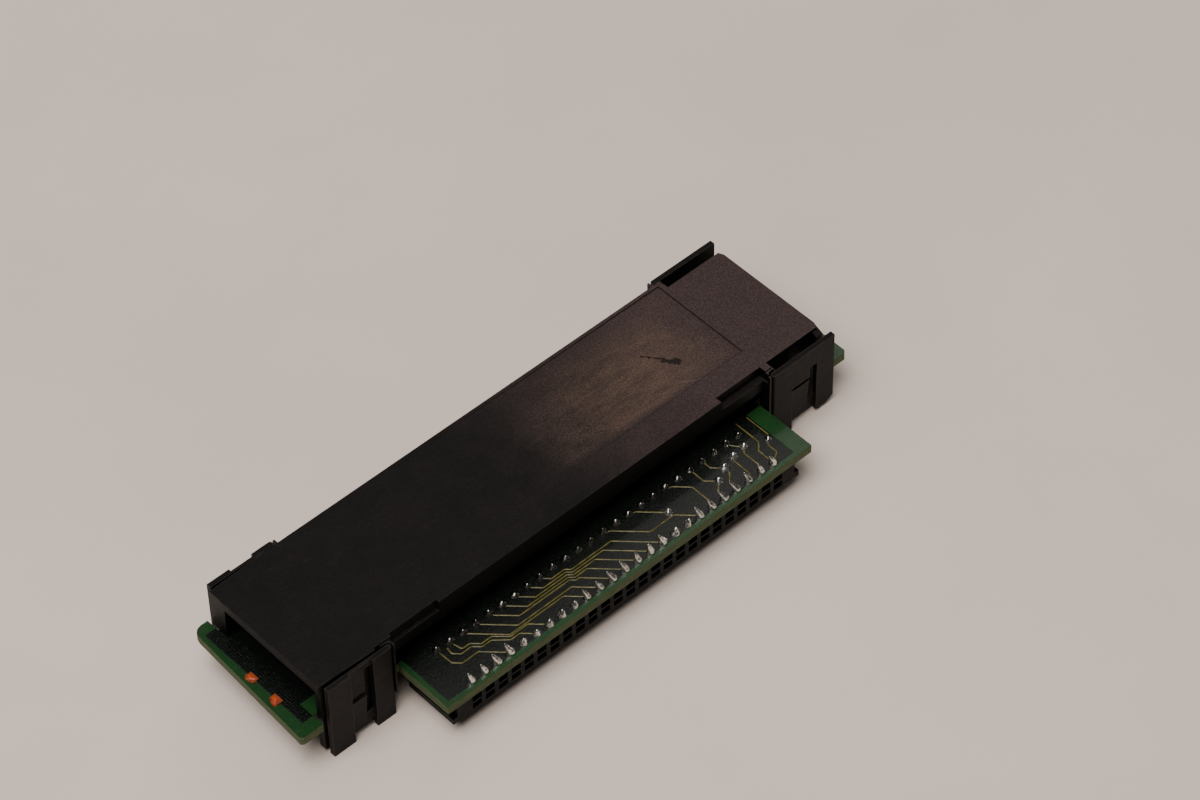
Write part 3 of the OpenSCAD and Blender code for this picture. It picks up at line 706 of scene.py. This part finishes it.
def makeTracks(name, paths, z):
    mesh = bpy.data.meshes.new(name)
    verts, edges = [], []
    for path in paths:
        for index, (x, y) in enumerate(path):
            if index:
                edges.append((len(verts) - 1, len(verts)))
            verts.append(((x + firstX) * mm, (y + frontY) * mm, z * mm))
    mesh.from_pydata(verts, edges, [])
    obj = linkObject(name, mesh, trackCopper)
    ribbon = obj.modifiers.new("ribbon", "NODES")
    ribbon.node_group = trackTree
    setInput(ribbon, "Width", trackPlan["width"] * mm)
    setInput(ribbon, "Height", trackPlan["height"] * mm)
    setInput(ribbon, "Finish", trackCopper)
    bakeModifiers(obj)
    return obj


topTracks = makeTracks("topTracks", bundleTracks(trackPlan) + looseTracks, boardTop + 0.005)
finishPiece(topTracks, "module", "board_laminate")
print("tracks:", len(topTracks.data.polygons), "faces")

# solder joints: one profile set on every joint, with its own height, foot and lean
jointPlan = {"sides": 16, "rings": 10, "foot": 0.54, "tail": 0.29, "sink": 0.02, "seed": 7,
             "tallFront": (0, 1, 2, 3, 9, 10, 11, 12, 13, 14, 15, 18, 19, 20, 21, 22, 23, 24),
             "extra": ((63.7, 3.9), (60.0, 5.4), (57.4, 5.0), (54.8, 4.3), (52.4, 3.0), (42.7, 3.65))}


def makeJointTree():
    tree = bpy.data.node_groups.new("solderJoints", "GeometryNodeTree")
    face = tree.interface
    face.new_socket("Geometry", in_out="INPUT", socket_type="NodeSocketGeometry")
    for label, kind, value in (("Sides", "NodeSocketInt", 14), ("Rings", "NodeSocketInt", 9),
                               ("Foot", "NodeSocketFloat", 0.0008), ("Tail", "NodeSocketFloat", 0.0003),
                               ("Seed", "NodeSocketInt", 7)):
        socket = face.new_socket(label, in_out="INPUT", socket_type=kind)
        socket.default_value = value
    face.new_socket("Finish", in_out="INPUT", socket_type="NodeSocketMaterial")
    face.new_socket("Geometry", in_out="OUTPUT", socket_type="NodeSocketGeometry")
    gIn = addNode(tree, "NodeGroupInput", -1400)
    gOut = addNode(tree, "NodeGroupOutput", 1400)
    link = tree.links.new
    # unit column, then its radius is set ring by ring
    column = addNode(tree, "GeometryNodeMeshCylinder", -1200, fill_type="TRIANGLE_FAN")
    column.inputs["Radius"].default_value = 1.0
    column.inputs["Depth"].default_value = 1.0
    link(gIn.outputs["Sides"], column.inputs["Vertices"])
    link(gIn.outputs["Rings"], column.inputs["Side Segments"])
    place = addNode(tree, "GeometryNodeInputPosition", -1200, -300)
    split = addNode(tree, "ShaderNodeSeparateXYZ", -1050, -300)
    link(place.outputs[0], split.inputs[0])
    t = math2(tree, "ADD", split.outputs["Z"], 0.5, True)
    flare = math2(tree, "MULTIPLY", math2(tree, "POWER", math2(tree, "SUBTRACT", 1.0, t), 1.25),
                  gIn.outputs["Foot"])
    tip = math2(tree, "SQRT", math2(tree, "SUBTRACT", 1.0, math2(tree, "POWER", t, 4.0)))
    radius = math2(tree, "MULTIPLY", math2(tree, "ADD", flare, gIn.outputs["Tail"]), tip)
    joined = addNode(tree, "ShaderNodeCombineXYZ", -600, -300)
    link(math2(tree, "MULTIPLY", split.outputs["X"], radius), joined.inputs["X"])
    link(math2(tree, "MULTIPLY", split.outputs["Y"], radius), joined.inputs["Y"])
    link(math2(tree, "MULTIPLY", t, mm), joined.inputs["Z"])
    shape = addNode(tree, "GeometryNodeSetPosition", -400)
    link(column.outputs[0], shape.inputs["Geometry"])
    link(joined.outputs[0], shape.inputs["Position"])
    # instances take their height and lean from the points
    tall = addNode(tree, "GeometryNodeInputNamedAttribute", -400, -500, data_type="FLOAT")
    tall.inputs["Name"].default_value = "tall"
    wide = addNode(tree, "GeometryNodeInputNamedAttribute", -400, -650, data_type="FLOAT")
    wide.inputs["Name"].default_value = "wide"
    size = addNode(tree, "ShaderNodeCombineXYZ", -200, -500)
    link(wide.outputs[0], size.inputs["X"])
    link(wide.outputs[0], size.inputs["Y"])
    link(tall.outputs[0], size.inputs["Z"])
    turn = addNode(tree, "FunctionNodeRandomValue", -200, -750, data_type="FLOAT_VECTOR")
    turn.inputs[0].default_value = (0.0, 0.0, -3.14)
    turn.inputs[1].default_value = (0.0, 0.0, 3.14)
    link(gIn.outputs["Seed"], turn.inputs["Seed"])
    scatter = addNode(tree, "GeometryNodeInstanceOnPoints", 100)
    link(gIn.outputs["Geometry"], scatter.inputs["Points"])
    link(shape.outputs[0], scatter.inputs["Instance"])
    link(turn.outputs[0], scatter.inputs["Rotation"])
    link(size.outputs[0], scatter.inputs["Scale"])
    realize = addNode(tree, "GeometryNodeRealizeInstances", 400)
    link(scatter.outputs[0], realize.inputs[0])
    # shear the tops over, more the higher they stand
    bent = addNode(tree, "GeometryNodeInputNamedAttribute", 400, -400, data_type="FLOAT_VECTOR")
    bent.inputs["Name"].default_value = "lean"
    here = addNode(tree, "GeometryNodeInputPosition", 400, -600)
    rise = addNode(tree, "ShaderNodeSeparateXYZ", 550, -600)
    link(here.outputs[0], rise.inputs[0])
    over = math2(tree, "MAXIMUM", math2(tree, "SUBTRACT", rise.outputs["Z"], (boardTop + 0.35) * mm), 0.0)
    push = addNode(tree, "ShaderNodeVectorMath", 700, -400, operation="SCALE")
    link(bent.outputs[0], push.inputs[0])
    link(over, push.inputs["Scale"])
    lumps = addNode(tree, "ShaderNodeTexNoise", 550, -800)
    lumps.inputs["Scale"].default_value = 1300.0
    link(here.outputs[0], lumps.inputs["Vector"])
    lump = addNode(tree, "ShaderNodeVectorMath", 700, -800, operation="MULTIPLY_ADD")
    link(lumps.outputs["Color"], lump.inputs[0])
    lump.inputs[1].default_value = (0.00022, 0.00022, 0.0)
    lump.inputs[2].default_value = (-0.00011, -0.00011, 0.0)
    both = addNode(tree, "ShaderNodeVectorMath", 850, -500, operation="ADD")
    link(push.outputs[0], both.inputs[0])
    link(lump.outputs[0], both.inputs[1])
    lean = addNode(tree, "GeometryNodeSetPosition", 900)
    link(realize.outputs[0], lean.inputs["Geometry"])
    link(both.outputs[0], lean.inputs["Offset"])
    smooth = addNode(tree, "GeometryNodeSetShadeSmooth", 1050)
    link(lean.outputs[0], smooth.inputs[0])
    paint = addNode(tree, "GeometryNodeSetMaterial", 1200)
    link(smooth.outputs[0], paint.inputs["Geometry"])
    link(gIn.outputs["Finish"], paint.inputs["Material"])
    link(paint.outputs[0], gOut.inputs[0])
    return tree


def wave(number, spread):
    return spread * math.sin(number * 12.9898 + 4.1) * math.cos(number * 7.233)


def makeJoints(name, spots, finish):
    mesh = bpy.data.meshes.new(name)
    mesh.from_pydata([((x + firstX) * mm, (y + frontY) * mm, z * mm) for x, y, z, *rest in spots], [], [])
    tall = mesh.attributes.new("tall", "FLOAT", "POINT")
    wide = mesh.attributes.new("wide", "FLOAT", "POINT")
    lean = mesh.attributes.new("lean", "FLOAT_VECTOR", "POINT")
    for index, (x, y, z, height, width, leanX, leanY) in enumerate(spots):
        tall.data[index].value = height
        wide.data[index].value = width
        lean.data[index].vector = (leanX, leanY, 0.0)
    obj = linkObject(name, mesh, finish)
    cones = obj.modifiers.new("joints", "NODES")
    cones.node_group = jointTree
    setInput(cones, "Sides", jointPlan["sides"])
    setInput(cones, "Rings", jointPlan["rings"])
    setInput(cones, "Foot", jointPlan["foot"] * mm)
    setInput(cones, "Tail", jointPlan["tail"] * mm)
    setInput(cones, "Seed", jointPlan["seed"])
    setInput(cones, "Finish", finish)
    return bakeModifiers(obj)


jointTree = makeJointTree()
jointSpots = []
for pin in range(pinCount):
    isTall = pin in jointPlan["tallFront"]
    height = (1.95 if isTall else 1.1) + wave(pin, 0.25)
    lean = ((-0.42 + wave(pin + 3, 0.22), 0.3 + wave(pin + 9, 0.2)) if isTall
            else (wave(pin, 0.2), wave(pin + 5, 0.2)))
    jointSpots.append((pin * pitch, 0.0, boardTop - jointPlan["sink"], height,
                       0.92 + wave(pin + 1, 0.1), *lean))
rearSpots = []
for pin in range(pinCount):
    rearSpots.append((pin * pitch, rowGap, boardTop - jointPlan["sink"], 0.78 + wave(pin + 40, 0.2),
                      0.88 + wave(pin + 2, 0.12), wave(pin + 11, 0.3), wave(pin + 21, 0.3)))
for index, (x, y) in enumerate(jointPlan["extra"]):
    jointSpots.append((x, y, boardTop - jointPlan["sink"], 0.85 + wave(index + 60, 0.2),
                       0.95 + wave(index, 0.15), 0.1, 0.1))
joints = makeJoints("solderJoints", jointSpots, solderMetal)
finishPiece(joints, "module", "solder", "side_solder_front", "test_posts")
# the rear row uses the darker solder copy, painted shade and reflection
rearJoints = makeJoints("rearSolderJoints", rearSpots, shadedRearSolder)
finishPiece(rearJoints, "module", "solder", "side_solder_rear")
print("solder joints:", len(joints.data.polygons), "faces")

# side receptacle and the contact blades in its cells

socketSize = {"edge": 0.07}
sideSocket = copyOfNode("sideSocketBody", "side_socket", socketPlastic)
softEdges(sideSocket, socketSize["edge"], 2, 40.0)
finishPiece(sideSocket, "module", "socket_plastic", "side_socket")

bladePlan = {"face": -18.175, "upperDrop": 1.15, "lowerDrop": 2.7, "half": 0.32, "thick": 0.11}
bladeMesh = bmesh.new()
for pin in range(pinCount):
    x = firstX + pin * pitch
    for drop, inner in ((bladePlan["upperDrop"], -15.45), (bladePlan["lowerDrop"], -9.6)):
        z = boardBottom - drop
        boxInto(bladeMesh, x - bladePlan["half"], x + bladePlan["half"], bladePlan["face"] + 0.85, inner,
                z - bladePlan["thick"], z + bladePlan["thick"])
blades = bpy.data.meshes.new("contactBlades")
bladeMesh.to_mesh(blades)
bladeMesh.free()
blades = linkObject("contactBlades", blades, contactPlating)
finishPiece(blades, "module", "contact_plating", "side_contacts_upper", "side_contacts_lower")
print("side receptacle done")

# base receptacle and the circuit parts keep their CAD shapes, with rounded edges and finishes

plainNodes = {"base_socket": (socketPlastic, 0.06), "base_contacts": (contactPlating, 0.04),
              "base_solder": (solderMetal, 0.0), "driver_chips": (chipEpoxy, 0.12),
              "driver_leads": (leadTin, 0.0),
              "resistor_networks": (networkCoat, 0.35), "resistor_leads": (leadTin, 0.0),
              "bypass_capacitors": (capacitorCeramic, 0.06), "capacitor_ends": (leadTin, 0.08),
              "tank_capacitor": (tankResin, 0.15), "tank_terminals": (leadTin, 0.06),
              "status_lamps": (lampBase, 0.05)}
for node, (material, radius) in plainNodes.items():
    nodes[node].data.materials.clear()
    nodes[node].data.materials.append(material)
    if radius:
        weld = nodes[node].modifiers.new("joinTriangles", "WELD")
        weld.merge_threshold = 0.002 * mm
        softEdges(nodes[node], radius, 2, 40.0)
print("inner parts finished")

# status lenses: small uneven drops of orange resin over the lamps
dropPlan = {"spots": ((-53.15, 5.1, 1.1, 0.66, 0.3), (-53.25, -0.45, 0.98, 0.72, -0.4)),
            "height": 0.5, "lump": 0.16}
dropMesh = bmesh.new()
for x, y, lengthY, lengthX, turn in dropPlan["spots"]:
    made = bmesh.ops.create_icosphere(dropMesh, subdivisions=4, radius=1.0)
    for vert in made["verts"]:
        p = vert.co.copy()
        coarse = hn.noise(p * 1.7 + Vector((x, y, 0.0)))
        fine = hn.noise(p * 4.1 + Vector((y, x, 3.0)))
        lump = 1.0 + dropPlan["lump"] * (coarse + 0.5 * fine)
        px, py = p.x * lengthX * lump, p.y * lengthY * lump
        rx = px * math.cos(turn) - py * math.sin(turn)
        ry = px * math.sin(turn) + py * math.cos(turn)
        vert.co = Vector((x + rx, y + ry, boardTop - 0.05 + max(p.z, -0.15) * dropPlan["height"] * lump)) * mm
drops = bpy.data.meshes.new("lampDrops")
dropMesh.to_mesh(drops)
dropMesh.free()
for polygon in drops.polygons:
    polygon.use_smooth = True
drops = linkObject("lampDrops", drops, lampLens)
finishPiece(drops, "module", "lamp_lens", "status_lenses")

# floor, light and camera

paperPlan = {"half": 3.0, "relief": 0.12, "dark": (0.8, 0.7, 0.63), "pale": (0.87, 0.763, 0.688)}
floorMesh = bpy.data.meshes.new("paperFloor")
half = paperPlan["half"]
floorMesh.from_pydata([(-half, -half, 0), (half, -half, 0), (half, half, 0), (-half, half, 0)], [],
                      [(0, 1, 2, 3)])
paper, paperTree, paperBsdf = newMaterial("paper", Roughness=0.9)
paperWhere = millimetres(paperTree)
paperTone = mixColor(paperTree, ramp(paperTree, noise(paperTree, paperWhere, 0.008, 4.0, 0.6), 0.3, 0.7),
                     paperPlan["dark"], paperPlan["pale"])
paperTree.links.new(paperTone, paperBsdf.inputs["Base Color"])
addBump(paperTree, paperBsdf, noise(paperTree, paperWhere, 0.25, 5.0, 0.6), paperPlan["relief"] * mm, 0.25)
floor = linkObject("paperFloor", floorMesh, paper)

lightPlan = {"left": (19.6, 1.1, (-0.58, -0.1, 1.33)), "overhead": (4.6, 1.2, (0.0, 0.1, 1.5)),
             "behind": (0.8, 0.55, (0.64, 0.44, 0.62)), "tint": (1.0, 0.945, 0.895),
             "sky": (1.0, 0.97, 0.94, 1.0), "skyPower": 0.05}
for name in ("overhead", "left", "behind"):
    power, size, spot = lightPlan[name]
    lamp = bpy.data.lights.new(name + "Light", "AREA")
    lamp.energy = power
    lamp.shape = "DISK"
    lamp.size = size
    lamp.color = lightPlan["tint"]
    holder = bpy.data.objects.new(name + "Light", lamp)
    bpy.context.scene.collection.objects.link(holder)
    holder.location = spot
    holder.rotation_euler = (Vector((0, 0, 0)) - Vector(spot)).to_track_quat("-Z", "Y").to_euler()
world = bpy.data.worlds.new("studio")
bpy.context.scene.world = world
world.use_nodes = True
world.node_tree.nodes["Background"].inputs[0].default_value = lightPlan["sky"]
world.node_tree.nodes["Background"].inputs[1].default_value = lightPlan["skyPower"]

cameraData = bpy.data.cameras.new("photoCamera")
cameraPlan = {"lens": 127.22, "sensor": 36.0}
cameraData.lens = cameraPlan["lens"]
cameraData.sensor_width = cameraPlan["sensor"]
cameraData.clip_start = 0.01
camera = bpy.data.objects.new("photoCamera", cameraData)
bpy.context.scene.collection.objects.link(camera)
camera.matrix_world = Matrix(((0.735554, 0.510953, -0.444845, -0.268974),
                              (-0.67728, 0.539224, -0.50053, -0.315279),
                              (-0.015876, 0.669451, 0.742687, 0.491264), (0.0, 0.0, 0.0, 1.0)))
bpy.context.scene.camera = camera
print("stage, light and camera set")
